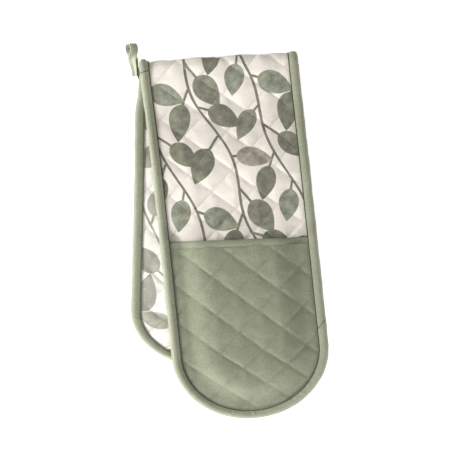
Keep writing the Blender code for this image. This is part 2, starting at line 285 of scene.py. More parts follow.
def wadding_top(across, along):
    return band_wadding / 2 * pressed(across, along)


def band_puff(across, along, seed=3):
    height = quilt_puff * quilt(across, along, 0.0, band_faint, seed)
    return (height + ripple_height * ripple(across, along, seed)) * swelling(across, along)


def band_level(across, along):
    """Height of the printed cloth where it isn't puffed up at all."""
    return wadding_top(across, along) + ply_gap + fabric


def pocket_base(across, along):
    full = quilt_puff * openness(across, along, press_slope)
    over_band = wadding_top(across, along) + ply_gap + fabric + full
    return over_band + pocket_seat + hand_room * openness(across, along, room_slope)


def pocket_top(across, along):
    return pocket_base(across, along) + fabric + ply_gap + pocket_wadding * pressed(across, along)


def past_hem(across, along):
    """How far a place lies past the stitches of a pocket's hem."""
    mouth = np.where(along > 0, front_mouth, back_mouth)
    return np.abs(fold_distance(across, along)) - mouth - hem_stitch


def pocket_swell(across, along, seed=11):
    height = pocket_full * quilt(across, along, pocket_turn, pocket_faint, seed)
    rise = np.clip(past_hem(across, along) / hem_slope, 0.0, 1.0) ** rise_bend
    return (height + ripple_height * ripple(across, along, seed)) * swelling(across, along) * rise


def pocket_level(across, along):
    return pocket_top(across, along) + ply_gap + fabric


print("outer cloth's own level:", round(float(band_level(0.0, 0.1)) * 1000, 2), "mm")

# %% [markdown]
# ## Helpers for materials
#
# A material is a network of small nodes, and adding and linking each one by hand hides what
# it works out. Each helper adds one node, fills its sockets with numbers or with links, and
# gives back what it puts out, so that a formula reads as one line.

# %% Node helpers
def fill(tree, sockets, values):
    """Gives each socket its value, or a link from the socket that is given as its value."""
    for socket, value in zip(sockets, values):
        if isinstance(value, bpy.types.NodeSocket):
            tree.links.new(value, socket)
        else:
            socket.default_value = value


def set_sockets(tree, node, values):
    fill(tree, [node.inputs[label] for label in values], values.values())
    return node


def maths(tree, operation, *values, clamp=False):
    node = tree.nodes.new("ShaderNodeMath")
    node.operation, node.use_clamp = operation, clamp
    fill(tree, node.inputs, values)
    return node.outputs[0]


def ramp(tree, value, start, steepness):
    """0 until the value reaches the start, and then quickly up to 1."""
    return maths(tree, "MULTIPLY", maths(tree, "SUBTRACT", value, start), steepness, clamp=True)


def vectors(tree, operation, *values):
    node = tree.nodes.new("ShaderNodeVectorMath")
    node.operation = operation
    fill(tree, node.inputs, values)
    return node.outputs["Value" if operation == "DOT_PRODUCT" else "Vector"]


def split(tree, place):
    """The X, Y and Z of a place."""
    node = tree.nodes.new("ShaderNodeSeparateXYZ")
    tree.links.new(place, node.inputs[0])
    return node.outputs


def grey(tree, value):
    node = tree.nodes.new("ShaderNodeCombineColor")
    fill(tree, node.inputs, [value] * 3)
    return node.outputs[0]


def blended(tree, share, first, second, mode="MIX"):
    """One colour mixed with another."""
    node = tree.nodes.new("ShaderNodeMix")
    node.data_type, node.blend_type = "RGBA", mode
    fill(tree, (node.inputs["Factor"], node.inputs[6], node.inputs[7]), (share, first, second))
    return node.outputs[2]


def noise(tree, place, scale, detail=2.0, rough=0.5):
    node = tree.nodes.new("ShaderNodeTexNoise")
    values = {"Vector": place, "Scale": scale, "Detail": detail, "Roughness": rough}
    return set_sockets(tree, node, values).outputs["Fac"]


def new_group(name, inputs, outputs):
    """A shader node group and its two ends. An input that has no value is a vector."""
    group = bpy.data.node_groups.new(name, "ShaderNodeTree")
    for label, value in inputs.items():
        kind = "NodeSocketVector" if value is None else "NodeSocketFloat"
        socket = group.interface.new_socket(label, in_out="INPUT", socket_type=kind)
        if value is not None:
            socket.default_value = value
    for label in outputs:
        group.interface.new_socket(label, in_out="OUTPUT", socket_type="NodeSocketFloat")
    return group, group.nodes.new("NodeGroupInput"), group.nodes.new("NodeGroupOutput")


def use_group(tree, group, values):
    node = tree.nodes.new("ShaderNodeGroup")
    node.node_tree = group
    return set_sockets(tree, node, values)


def new_material(name):
    material = bpy.data.materials.new(name)
    material.use_nodes = True
    return material, material.node_tree, material.node_tree.nodes["Principled BSDF"]

# %% [markdown]
# ## Light, floor and camera
#
# The glove is looked at from straight above, a little turned, as a shop lays it out for its
# picture. A camera far away with a long lens keeps the sides straight. An even world lights
# all of it, at a level where cloth keeps its colour. The brightest lamp stands low on the
# left, so that the quilting throws soft shadows to the right, and three weaker ones low down
# round the glove keep its bound edges light.

# %% Camera, lamps and floor
pixel = 0.001145  # metres of the glove to one pixel of the 450 pixel frame
frame_side = 450 * pixel
camera_turn = math.radians(-2.26)
camera_distance = 3.5
view_height = 0.025
view_centre = Vector((0.01316, -0.03709, view_height))

camera_data = bpy.data.cameras.new("camera")
camera = bpy.data.objects.new("camera", camera_data)
bpy.context.scene.collection.objects.link(camera)
camera.location = view_centre + Vector((0, 0, camera_distance))
camera.rotation_euler = (0, 0, camera_turn)
camera_data.sensor_width = 36.0
camera_data.lens = camera_data.sensor_width * camera_distance / frame_side
camera_data.clip_end = 20.0
bpy.context.scene.camera = camera


def add_lamp(name, place, size, power):
    bpy.ops.object.light_add(type="AREA", location=place)
    lamp = bpy.context.object
    lamp.name = name
    lamp.data.shape = "DISK"
    lamp.data.size = size
    lamp.data.energy = power
    lamp.rotation_euler = (view_centre - Vector(place)).to_track_quat("-Z", "Y").to_euler()
    return lamp


add_lamp("key_lamp", (-1.55, -0.16, 0.74), 0.5, 24.5)
add_lamp("left_edge_lamp", (-1.60, 0.15, 0.30), 0.7, 18.0)
add_lamp("low_edge_lamp", (-0.10, -1.60, 0.32), 0.7, 22.0)
add_lamp("right_edge_lamp", (1.50, -0.40, 0.40), 0.7, 9.0)

world = bpy.data.worlds.new("studio")
bpy.context.scene.world = world
world.use_nodes = True
even_light = {"Color": (1.0, 0.985, 0.96, 1), "Strength": 0.43}
set_sockets(world.node_tree, world.node_tree.nodes["Background"], even_light)
bpy.context.scene.view_settings.view_transform = "Standard"


paper_glow = 0.66  # to the camera and in reflections, and 0 as a light on the glove
floor_drop = 0.0004  # the floor lies this far under the solids


def floor_material():
    """White paper that is as bright as the photograph's, to the camera and in reflections."""
    material, tree, shader = new_material("floor_paper")
    rays = tree.nodes.new("ShaderNodeLightPath").outputs
    seen = maths(tree, "MAXIMUM", rays["Is Camera Ray"], rays["Is Glossy Ray"])
    set_sockets(tree, shader, {
        "Base Color": (0.86, 0.86, 0.86, 1), "Roughness": 0.9, "Emission Color": (1, 1, 1, 1),
        "Emission Strength": maths(tree, "MULTIPLY", seen, paper_glow)})
    return material


bpy.ops.object.select_all(action="DESELECT")
bpy.ops.mesh.primitive_plane_add(size=6.0, location=(0, 0, -floor_drop))
floor = bpy.context.object
floor.name = "floor"
floor.data.materials.append(floor_material())
floor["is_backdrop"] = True
print("camera lens:", round(camera_data.lens, 1), "mm")

# %% [markdown]
# ## Cloth finishes
#
# Every cloth here is plain-woven cotton. The weave is one node group: threads that go over
# and under by turns, with thick and thin places in the yarn. It reads the piece's own UV map,
# which holds flat metres, so the weave follows the cloth round the fold. The colour has
# cloudy patches and uneven yarn, because an even one would look like plastic.

# %% The weave
slub_long, slub_thin = 60.0, 900.0  # noise scales along a yarn and across it
cotton_thread, cotton_relief = 0.0006, 0.00012  # one thread's width and height


def weave_group():
    group, start, end = new_group(
        "plain_weave", {"Place": None, "Thread": cotton_thread}, ("Height", "Yarn", "Cloud", "Grain"))
    place, parts = start.outputs["Place"], split(group, start.outputs["Place"])
    threads = []
    for axis in ("X", "Y"):
        count = maths(group, "DIVIDE", parts[axis], start.outputs["Thread"])
        wave = maths(group, "ABSOLUTE", maths(group, "SINE", maths(group, "MULTIPLY", count, math.pi)))
        threads.append((maths(group, "FLOOR", count), wave))
    turn = maths(group, "PINGPONG", maths(group, "ADD", threads[0][0], threads[1][0]), 1.0)
    over = maths(group, "MULTIPLY", threads[0][1], turn)
    under = maths(group, "MULTIPLY", threads[1][1], maths(group, "SUBTRACT", 1.0, turn))
    slubs = [noise(group, vectors(group, "MULTIPLY", place, stretch), 1.0)
             for stretch in ((slub_long, slub_thin, 1.0), (slub_thin, slub_long, 1.0))]
    set_sockets(group, end, {
        "Height": maths(group, "ADD", over, under),
        "Yarn": maths(group, "MULTIPLY", maths(group, "ADD", *slubs), 0.5),
        "Cloud": noise(group, place, 42.0, 4.0, 0.6),
        "Grain": noise(group, place, 460.0, 4.0, 0.7)})
    return group


weave = weave_group()


def cloth_material(name, thread, relief):
    """A material with the weave's bump, and the sockets that its colour is built from."""
    material, tree, shader = new_material(name)
    place = tree.nodes.new("ShaderNodeUVMap")
    place.uv_map = "cut"
    threads = use_group(tree, weave, {"Thread": thread, "Place": place.outputs[0]})
    bump = set_sockets(tree, tree.nodes.new("ShaderNodeBump"), {
        "Strength": 0.55, "Distance": relief, "Height": threads.outputs["Height"]})
    set_sockets(tree, shader, {
        "Roughness": 0.9, "Specular IOR Level": 0.25, "Sheen Weight": 0.18, "Sheen Roughness": 0.55,
        "Normal": bump.outputs[0]})
    return material, tree, shader, place.outputs[0], threads


def dyed(tree, threads, colour, depth, coarse=1.5):
    """A plain dyed colour with cloudy patches and uneven yarn. Coarse is how much it's flecked."""
    dark = tuple(part * (1 - depth) for part in colour) + (1,)
    light = tuple(min(1.0, part * (1 + depth)) for part in colour) + (1,)
    patch = blended(tree, threads.outputs["Cloud"], dark, light)
    grain = maths(tree, "MULTIPLY_ADD", threads.outputs["Grain"], coarse, 0.75 - coarse / 2)
    yarn = maths(tree, "MULTIPLY_ADD", threads.outputs["Yarn"], 0.5, grain)
    return blended(tree, 0.6, patch, blended(tree, 1.0, patch, grey(tree, yarn), "MULTIPLY"))


def plain_cloth(name, colour, thread=cotton_thread, relief=cotton_relief, depth=0.16):
    material, tree, shader, _, threads = cloth_material(name, thread, relief)
    tree.links.new(dyed(tree, threads, colour, depth), shader.inputs["Base Color"])
    return material


pocket_sage = (0.250, 0.265, 0.184)
binding_sage = (0.314, 0.329, 0.238)
pocket_cloth = plain_cloth("pocket_cloth", pocket_sage)
lining_cloth = plain_cloth("lining_cloth", pocket_sage)
tape_weave = (0.0005, 0.00010, 0.13)  # thread, relief and depth of the colour's patches
binding_cloth = plain_cloth("binding_cloth", binding_sage, *tape_weave)

# %% The tape's painted seam shade
tape_flat, tape_across = 0.0073, 0.0272  # the tape's flat side and its whole width
join_lean = 1.05  # the tape's two ends are joined on the slant


def paint_seam_shade(material):
    """Paints shade into the tape's colour: beside its free edges, along its join and along the crease
    under the cap.
    """
    tree = material.node_tree
    shader = tree.nodes["Principled BSDF"]
    unshaded_colour = shader.inputs["Base Color"].links[0].from_socket
    place = next(node for node in tree.nodes if node.bl_idname == "ShaderNodeUVMap")
    inward, run = split(tree, place.outputs[0])[:2]
    inside = maths(tree, "MINIMUM", inward, maths(tree, "SUBTRACT", tape_across, inward))
    slant = maths(tree, "MULTIPLY_ADD", inward, -join_lean, join_lean * bind_show)
    off = maths(tree, "ABSOLUTE", maths(tree, "ADD", run, slant))
    edge, join = ramp(tree, inside, 0.0005, 900.0), ramp(tree, off, 0.0003, 1800.0)
    behind = ramp(tree, inward, tape_across / 2, 2000.0)
    share = maths(tree, "MINIMUM", edge, maths(tree, "MAXIMUM", join, behind))
    # painted shade: the tape's colour is multiplied darker where the mask is 0
    dark = blended(tree, 1.0, unshaded_colour, (0.27, 0.27, 0.25, 1), "MULTIPLY")
    tree.links.new(blended(tree, share, dark, unshaded_colour), shader.inputs["Base Color"])


paint_seam_shade(binding_cloth)

# %% The loop's tape and the three colours of thread
# painted light: the loop is the binding's tape, but its sage is made paler than the tape's so that it
# reads as brightly lit
loop_cloth_painted_light = plain_cloth("loop_cloth_painted_light", (0.42, 0.44, 0.33), *tape_weave)
thread_weave = (0.0003, 0.00005, 0.10)
thread_finish = plain_cloth("stitch_thread", (0.165, 0.170, 0.112), *thread_weave)
pocket_thread = plain_cloth("pocket_thread", (0.262, 0.276, 0.190), *thread_weave)
print_thread = plain_cloth("print_thread", (0.50, 0.47, 0.39), *thread_weave)
print("cloth finishes:", [m.name for m in bpy.data.materials if "cloth" in m.name])

# %% [markdown]
# ## The leaf print
#
# The band is printed with trailing stems and pointed leaves. An image would be the usual
# way. Here the print is drawn by nodes, so it stays sharp at any distance. One group draws
# one leaf with its stalk, repeats it over the cloth like a printing roller does, and passes
# the result on to the next leaf. The layout is a plain climbing trail of its own: alternate
# leaves on swaying stems.

# %% One printed leaf
repeat_across, repeat_along = 0.124, 0.150
repeat_shear = 0.046  # the trails drift this far right in one repeat
stem_half = 0.0017
# How blunt the leaf's base and point are and how full it is, and the stalk in leaf lengths.
base_round, point_round, leaf_full = 0.62, 0.98, 2.86
stalk_half, stalk_inside = 0.042, 0.12
blade_sharp, stalk_sharp = 60.0, 30.0  # how sharply the ink ends


def leaf_group():
    group, start, end = new_group("printed_leaf", {
        "Place": None, "Base": None, "Axis": None, "Side": None, "Curve": 0.1, "Width": 0.33,
        "Stalk": 0.4, "Ink": 0.5, "Cover before": 0.0, "Ink before": 0.0}, ("Cover", "Ink"))
    given = start.outputs
    from_base = vectors(group, "SUBTRACT", given["Place"], given["Base"])
    half = (repeat_across / 2, repeat_along / 2, 1.0)
    near = vectors(group, "WRAP", from_base, half, tuple(-part for part in half))
    out = vectors(group, "DOT_PRODUCT", near, given["Axis"])
    side = vectors(group, "DOT_PRODUCT", near, given["Side"])
    curve = maths(group, "MULTIPLY", maths(group, "MULTIPLY", out, out), given["Curve"])
    aside = maths(group, "ABSOLUTE", maths(group, "SUBTRACT", side, curve))
    rounding = maths(group, "POWER", out, base_round)
    pointing = maths(group, "POWER", maths(group, "SUBTRACT", 1.0, out, clamp=True), point_round)
    shape = maths(group, "MULTIPLY", maths(group, "MULTIPLY", rounding, pointing), leaf_full)
    blade = ramp(group, maths(group, "MULTIPLY", shape, given["Width"]), aside, blade_sharp)
    behind = maths(group, "MULTIPLY", maths(group, "ADD", out, given["Stalk"]), stalk_sharp, clamp=True)
    length = maths(group, "MULTIPLY", behind, ramp(group, stalk_inside, out, stalk_sharp))
    stalk = maths(group, "MULTIPLY", ramp(group, stalk_half, aside, blade_sharp), length)
    keep = maths(group, "MULTIPLY", given["Ink before"], maths(group, "SUBTRACT", 1.0, blade))
    set_sockets(group, end, {
        "Cover": maths(group, "MAXIMUM", maths(group, "MAXIMUM", blade, stalk), given["Cover before"]),
        "Ink": maths(group, "MULTIPLY_ADD", given["Ink"], blade, keep)})
    return group


leaf = leaf_group()

# %% The climbing trails
repeat_slant = repeat_shear / repeat_along
trails = ((0.020, 0.0060, 0.4), (0.083, 0.0070, 2.9))  # place across, sway and phase
trail_leaves = 5
leaf_lengths, leaf_widths, leaf_angles = (0.0375, 0.0460), (0.275, 0.325), (25, 78)


def trail_place(trail, share):
    """A point on a trail in the sheared repeat, and its direction on the real cloth."""
    at, sway, phase = trail
    turn = 2 * math.pi * share + phase
    rate = sway * math.cos(turn) * 2 * math.pi + repeat_shear
    return at + sway * math.sin(turn), share * repeat_along, math.atan2(repeat_along, rate)


def trail_mask(group, sheared_x, along, trail):
    """1 on a trail's stem."""
    at, sway, phase = trail
    turn = maths(group, "MULTIPLY_ADD", along, 2 * math.pi / repeat_along, phase)
    middle = maths(group, "MULTIPLY_ADD", maths(group, "SINE", turn), sway, at)
    off = maths(group, "SUBTRACT", sheared_x, middle)
    off = maths(group, "WRAP", off, repeat_across / 2, -repeat_across / 2)
    return ramp(group, stem_half, maths(group, "ABSOLUTE", off), 3000.0)


def print_group():
    """Cover and ink of the whole print at a flat place."""
    group, start, end = new_group("leaf_print", {"Place": None}, ("Cover", "Ink"))
    plain_x, plain_y = split(group, start.outputs["Place"])[:2]
    sheared_x = maths(group, "SUBTRACT", plain_x, maths(group, "MULTIPLY", plain_y, repeat_slant))
    joined = group.nodes.new("ShaderNodeCombineXYZ")
    fill(group, joined.inputs, (sheared_x, plain_y))
    stems = [trail_mask(group, sheared_x, plain_y, trail) for trail in trails]
    cover, ink = maths(group, "MAXIMUM", *stems), 0.0
    rng, tones = np.random.default_rng(4024), np.random.default_rng(5)
    for number, trail in enumerate(trails):
        for count in range(trail_leaves):
            side = 1 if (count + number) % 2 else -1
            share = (count + rng.uniform(-0.2, 0.2)) / trail_leaves
            x, y, heading = trail_place(trail, share)
            angle = heading - side * math.radians(rng.uniform(*leaf_angles))
            length, width = rng.uniform(*leaf_lengths), rng.uniform(*leaf_widths)
            stalk, curve = rng.uniform(0.08, 0.55), side * rng.uniform(0.02, 0.16)
            cos, sin = math.cos(angle), math.sin(angle)
            dx = (cos * stalk + sin * curve * stalk**2) * length
            dy = (sin * stalk - cos * curve * stalk**2) * length
            drawn = use_group(group, leaf, {
                "Place": joined.outputs[0], "Base": (x + dx - repeat_slant * dy, y + dy, 0.0),
                "Axis": (cos / length, (cos * repeat_slant + sin) / length, 0),
                "Side": (-sin / length, (cos - sin * repeat_slant) / length, 0),
                "Curve": curve, "Width": width, "Stalk": stalk, "Ink": tones.uniform(0.05, 1.0),
                "Cover before": cover, "Ink before": ink})
            cover, ink = drawn.outputs["Cover"], drawn.outputs["Ink"]
    set_sockets(group, end, {"Cover": cover, "Ink": ink})
    return group


leaf_print = print_group()

# %% The inks on the cloth
ink_stops = (
    (0.0, (0.178, 0.178, 0.124)),
    (0.35, (0.205, 0.210, 0.148)),
    (0.6, (0.240, 0.250, 0.178)),
    (0.88, (0.285, 0.305, 0.222)),
    (1.0, (0.375, 0.330, 0.270)),
)


def printed_cloth(name, ground, strength):
    """Cream cotton with the leaf print. A lower strength prints the leaves fainter."""
    material, tree, shader, place, threads = cloth_material(name, cotton_thread, cotton_relief)
    drawn = use_group(tree, leaf_print, {"Place": place})
    inks = tree.nodes.new("ShaderNodeValToRGB")
    tree.links.new(drawn.outputs["Ink"], inks.inputs[0])
    while len(inks.color_ramp.elements) < len(ink_stops):
        inks.color_ramp.elements.new(0.5)
    for element, (position, colour) in zip(inks.color_ramp.elements, ink_stops):
        element.position, element.color = position, (*colour, 1)
    cotton = dyed(tree, threads, ground, 0.05, 0.4)
    blotch = noise(tree, place, 95.0, 5.0, 0.68)
    patchy = maths(tree, "MULTIPLY_ADD", maths(tree, "SUBTRACT", blotch, 0.5), 2.6, 1.02)
    inked = blended(tree, 1.0, inks.outputs[0], grey(tree, patchy), "MULTIPLY")
    flecks = dyed(tree, threads, (0.97, 0.97, 0.97), 0.22, 0.9)
    dye = blended(tree, 1.0, inked, flecks, "MULTIPLY")
    share = maths(tree, "MULTIPLY", drawn.outputs["Cover"], strength)
    tree.links.new(blended(tree, share, cotton, dye), shader.inputs["Base Color"])
    return material


print_outside = printed_cloth("print_cloth", (0.865, 0.805, 0.73), 0.95)
# the inner cloth gets a paler ground and a fainter print than the outer one
print_inside = printed_cloth("print_cloth_inside", (0.90, 0.865, 0.81), 0.72)
print("leaves in one repeat:", len(trails) * trail_leaves)

# %% [markdown]
# ## Cutting a cloth
#
# A sheet of cloth starts as a plane grid. Its vertices could be cut to the outline with a
# bisect, but that leaves ragged triangles at the round end. Here the square end of the grid
# is drawn round instead, so every thread line stays a line of quads. The flat place becomes
# the UV map, Solidify gives the cloth its thickness, and the heights and the fold come last.

# %% Grids, UV maps and thickness
def select_only(piece):
    bpy.ops.object.select_all(action="DESELECT")
    piece.select_set(True)
    bpy.context.view_layer.objects.active = piece


def apply_modifier(piece, modifier):
    select_only(piece)
    bpy.ops.object.modifier_apply(modifier=modifier.name)


def points_of(piece):
    points = np.empty(len(piece.data.vertices) * 3)
    piece.data.vertices.foreach_get("co", points)
    return points.reshape(-1, 3)


def new_grid(name, columns, rows):
    """A grid, and the share from 0 to 1 of each point across it and along it."""
    bpy.ops.object.select_all(action="DESELECT")
    bpy.ops.mesh.primitive_grid_add(x_subdivisions=columns, y_subdivisions=rows, size=1.0)
    piece = bpy.context.object
    piece.name = piece.data.name = name
    return piece, points_of(piece)[:, :2] + 0.5


def set_points(piece, points):
    piece.data.vertices.foreach_set("co", np.ascontiguousarray(points, np.float32).ravel())
    piece.data.update()


def set_cut_map(piece, flat):
    """Writes the piece's flat places, in metres, to a UV map named cut."""
    while piece.data.uv_layers:
        piece.data.uv_layers.remove(piece.data.uv_layers[0])
    layer = piece.data.uv_layers.new(name="cut")
    corners = np.empty(len(piece.data.loops), np.int32)
    piece.data.loops.foreach_get("vertex_index", corners)
    layer.data.foreach_set("uv", flat[corners].astype(np.float32).ravel())


def thicken(piece, thickness, offset):
    wall = piece.modifiers.new("cloth", "SOLIDIFY")
    wall.thickness, wall.offset = thickness, offset
    apply_modifier(piece, wall)


def finish_cloth(piece, material, crease=40):
    """Turns the shell to face out, smooths it and gives it its finish."""
    select_only(piece)
    bpy.ops.object.mode_set(mode="EDIT")
    bpy.ops.mesh.select_all(action="SELECT")
    bpy.ops.mesh.normals_make_consistent(inside=False)
    bpy.ops.object.mode_set(mode="OBJECT")
    bpy.ops.object.shade_smooth_by_angle(angle=math.radians(crease))
    piece.data.materials.clear()
    piece.data.materials.append(material)
    return piece


# %% The flat cut of one half
edge_inset = bind_round + ply_gap
cloth_half = half_width - edge_inset  # half the width of every cloth
pad_cell, lining_cell, fold_pad_cell = 0.0045, 0.0032, 0.0030  # sides of the meshes' cells


def flat_half(shares, near, towards):
    """Flat places of a grid that runs from beside the fold to the round end of one half."""
    radius = cloth_half
    start = float(end_start(towards))
    run = near + shares[:, 1] * (start - near + radius)
    side = shares[:, 0] * 2 - 1
    down = np.clip((run - near) / (start - near), 0.0, 1.0)
    beyond = np.clip((run - start) / radius, 0.0, 1.0)
    across = radius * side * np.sqrt(1 - beyond**2 / 2)
    along = (1 - down) * along_at(across, towards * near)
    along = along + towards * (down * start + radius * beyond * np.sqrt(1 - side**2 / 2))
    return np.stack([across, along], axis=-1)


def flat_stretch(shares, first, last):
    """Flat places of a grid between two lines beside the fold."""
    across = cloth_half * (shares[:, 0] * 2 - 1)
    along = along_at(across, first + shares[:, 1] * (last - first))
    return np.stack([across, along], axis=-1)


def make_cloth(name, cell, low, high, material, near=None, towards=1.0, stretch=None):
    """A cloth between two heights, from beside the fold to the end or over a stretch."""
    length = stretch[1] - stretch[0] if stretch else float(end_start(towards)) + half_width - near
    rows = max(2, round(length / cell))
    piece, shares = new_grid(name, round(2 * cloth_half / cell), rows)
    flat = flat_stretch(shares, *stretch) if stretch else flat_half(shares, near, towards)
    set_cut_map(piece, flat)
    set_points(piece, np.column_stack([flat, np.zeros(len(flat))]))
    thicken(piece, fabric, -1.0)
    across, along, depth = points_of(piece).T
    top = np.abs(depth) < fabric / 2
    height = np.where(top, high(across, along), low(across, along))
    set_points(piece, folded(across, along, height))
    return finish_cloth(piece, material)


# %% [markdown]
# ## Quilting a cloth
#
# The quilted sheets get a grid that follows the two families of stitch lines, so that every
# line of stitches is a line of the mesh. Blender's cloth simulation then blows the sheet up
# between its stitches, and finds the soft crowns that a formula only guesses. At the end the
# thread pulls a fine crease into each line.

# %% A sheet whose threads follow the stitches
quilt_step = 10  # mesh cells along one side of a diamond
end_cuts = 28  # straight cuts that make one round end
swell_frames = 20
swell_growth = -0.012  # the cloth has this share more length than its flat place
swell_pressure = 4.0
swell_start = 0.7  # share of the full height that the sheet starts from
swell_cap = 0.0035  # no point moves further than this
# The thread pulls the cloth down along every line: this wide, and this share as far.
strong_line = (0.0012, 1.0)
band_line, pocket_line = (0.0012, 1.0), (0.0017, 0.75)
# Below 1 a diamond is flatter on top and steeper at its stitches.
band_crown, pocket_crown = 0.80, 0.68


def cut_flat(piece, cuts):
    """Cuts a flat piece along lines, and drops what lies outward of each."""
    mesh = bmesh.new()
    mesh.from_mesh(piece.data)
    mesh.normal_update()
    bmesh.ops.reverse_faces(mesh, faces=[face for face in mesh.faces if face.normal.z < 0])
    for (across, along), (right, up) in cuts:
        whole = mesh.verts[:] + mesh.edges[:] + mesh.faces[:]
        bmesh.ops.bisect_plane(
            mesh, geom=whole, plane_co=(across, along, 0), plane_no=(right, up, 0), clear_outer=True)
    bmesh.ops.remove_doubles(mesh, verts=mesh.verts, dist=quilt_side / quilt_step / 12)
    mesh.to_mesh(piece.data)
    mesh.free()


def fold_cut(distance, sign):
    """A cut along a line at this distance from the fold, which keeps the far or the near side."""
    return (0.0, along_at(0.0, distance)), (-math.sin(splay) * sign, math.cos(splay) * sign)


def round_cuts(towards):
    start = float(end_start(towards))
    apothem = cloth_half * math.cos(math.pi / end_cuts / 2)
    cuts = []
    for count in range(end_cuts):
        angle = math.pi * (count + 0.5) / end_cuts
        right, up = math.cos(angle), towards * math.sin(angle)
        cuts.append(((apothem * right, towards * start + apothem * up), (right, up)))
    return cuts


def stitched_sheet(name, turned, cuts):
    """A flat grid that follows both families of stitch lines, cut to its outline."""
    reach = (front_length + band_width) / math.sin(quilt_angle)
    half_count = quilt_step * math.ceil(reach / quilt_side / 2)
    piece, _ = new_grid(name, 2 * half_count, 2 * half_count)
    steps = np.rint(points_of(piece)[:, :2] * 2 * half_count) / quilt_step
    first, second = steps[:, 0], steps[:, 1] - turned
    across = (first + second) * quilt_side * math.cos(quilt_angle)
    along = (first - second) * quilt_side * math.sin(quilt_angle)
    set_points(piece, np.stack([across, along, across * 0.0], axis=-1))
    cut_flat(piece, [((cloth_half, 0.0), (1.0, 0.0)), ((-cloth_half, 0.0), (-1.0, 0.0)), *cuts])
    set_cut_map(piece, points_of(piece)[:, :2])
    return piece


def swell(piece, turned, start_height, full):
    """Blows the sheet up between its stitches, from a low start, and keeps it as its shape."""
    across, along, _ = points_of(piece).T
    before = np.column_stack([across, along, swell_start * start_height(across, along)])
    set_points(piece, before)
    first, second = lattice(across, along, turned)
    off = np.minimum(np.abs(first - np.rint(first)), np.abs(second - np.rint(second)))
    held = off < 0.25 / quilt_step
    held |= edge_distance(across, along) < bind_show + cloth_margin
    pins = piece.vertex_groups.new(name="stitches")
    pins.add(np.flatnonzero(held).tolist(), 1.0, "REPLACE")
    select_only(piece)
    cloth = piece.modifiers.new("cloth", "CLOTH")
    cloth.settings.vertex_group_mass = pins.name
    cloth.settings.effector_weights.gravity = 0.0
    cloth.settings.use_pressure = True
    cloth.settings.uniform_pressure_force = swell_pressure
    cloth.settings.shrink_min = swell_growth
    cloth.settings.bending_stiffness = 0.05
    cloth.collision_settings.use_collision = False
    cloth.point_cache.frame_start, cloth.point_cache.frame_end = 1, swell_frames
    for frame_number in range(1, swell_frames + 1):
        bpy.context.scene.frame_set(frame_number)
    bpy.ops.object.modifier_apply(modifier=cloth.name)
    bpy.context.scene.frame_set(1)
    piece.vertex_groups.clear()
    moved = points_of(piece) - before
    far = np.linalg.norm(moved, axis=1)
    moved *= np.minimum(1.0, swell_cap / np.maximum(swell_cap, far))[:, None]
    after = before + moved
    after[:, 2] = np.maximum(after[:, 2], 0.0) * min(1.0, full / after[:, 2].max())
    set_points(piece, after)


def quilted_sheet(name, turned, cuts, start_height, full, crown, faint_line):
    """A flat quilted cloth, swollen between its stitches, with its threads' finer grid."""
    piece = stitched_sheet(name, turned, cuts)
    swell(piece, turned, start_height, full)
    finer = piece.modifiers.new("finer", "SUBSURF")
    finer.levels = finer.render_levels = 1
    apply_modifier(piece, finer)
    across, along, height = points_of(piece).T
    height = full * np.clip(height / full, 0.0, 1.0) ** crown
    for share, (width, depth) in zip(lattice(across, along, turned), (faint_line, strong_line)):
        off = np.abs(share - np.rint(share)) * quilt_side
        height = height * (1 - depth * np.exp(-((off / width) ** 2)))
    set_points(piece, np.column_stack([across, along, height]))
    print(name, "flat:", len(piece.data.polygons), "faces,", round(height.max() * 1000, 1), "mm high")
    return piece


def lay(sheet, name, cuts, level, side, material, highest=None):
    """Cuts a piece out of a quilted sheet, folds it, and gives it its thickness inwards."""
    select_only(sheet)
    bpy.ops.object.duplicate()
    piece = bpy.context.object
    piece.name = piece.data.name = name
    cut_flat(piece, cuts)
    across, along, puff = points_of(piece).T
    if highest:
        puff = np.minimum(puff, highest(across, along))
    set_points(piece, folded(across, along, side * (level(across, along) + puff)))
    thicken(piece, fabric, side)
    return finish_cloth(piece, material)


# %% [markdown]
# ## The quilted band
#
# The band is two printed cloths with wadding between them, quilted together in diamonds. A
# single thick slab could stand for all three, but the real one shows two different prints
# and opens at the pockets, so each ply is a piece of its own. The fold is a short stretch of
# the same plies, cut as pieces of their own.

# %% The band's cloths and wadding
inner_print_offset = (0.031, 0.047)  # the inner cloth is cut from another place of the print


def wadding_low(across, along):
    return -wadding_top(across, along)


def inner_puff(across, along):
    return band_puff(across, along, 5)


def under_pocket(across, along):
    """How high the band's cloth may stand, which is pressed down where a pocket covers it."""
    mouth = np.where(along > 0, front_mouth, back_mouth)
    before = np.maximum(0.0, mouth - np.abs(fold_distance(across, along)))
    return quilt_puff * openness(across, along, press_slope) + pocket_seat / 2 + before / 4


wadding_white = plain_cloth("wadding_fibre", (0.82, 0.81, 0.79), 0.0011, 0.0004, 0.05)
halves = (("front", 1.0, front_length, front_mouth), ("back", -1.0, back_length, back_mouth))
whole_band = round_cuts(1.0) + round_cuts(-1.0)
stretches = {
    "front": [fold_cut(fold_reach, -1)],
    "fold": [fold_cut(fold_reach, 1), fold_cut(-fold_reach, -1)],
    "back": [fold_cut(-fold_reach, 1)],
}
made, sheets = {}, {}

for face, start_height in (("outer", band_puff), ("inner", inner_puff)):
    sheets[face] = quilted_sheet(
        face + "_sheet", 0.0, whole_band, start_height, quilt_puff, band_crown, band_line)
set_cut_map(sheets["inner"], points_of(sheets["inner"])[:, :2] * (-1, 1) + inner_print_offset)
for stretch, cuts in stretches.items():
    made[stretch + "_outer_cloth"] = lay(
        sheets["outer"], stretch + "_outer_cloth", cuts, band_level, 1.0, print_outside, under_pocket)
    made[stretch + "_inner_cloth"] = lay(
        sheets["inner"], stretch + "_inner_cloth", cuts, band_level, -1.0, print_inside)

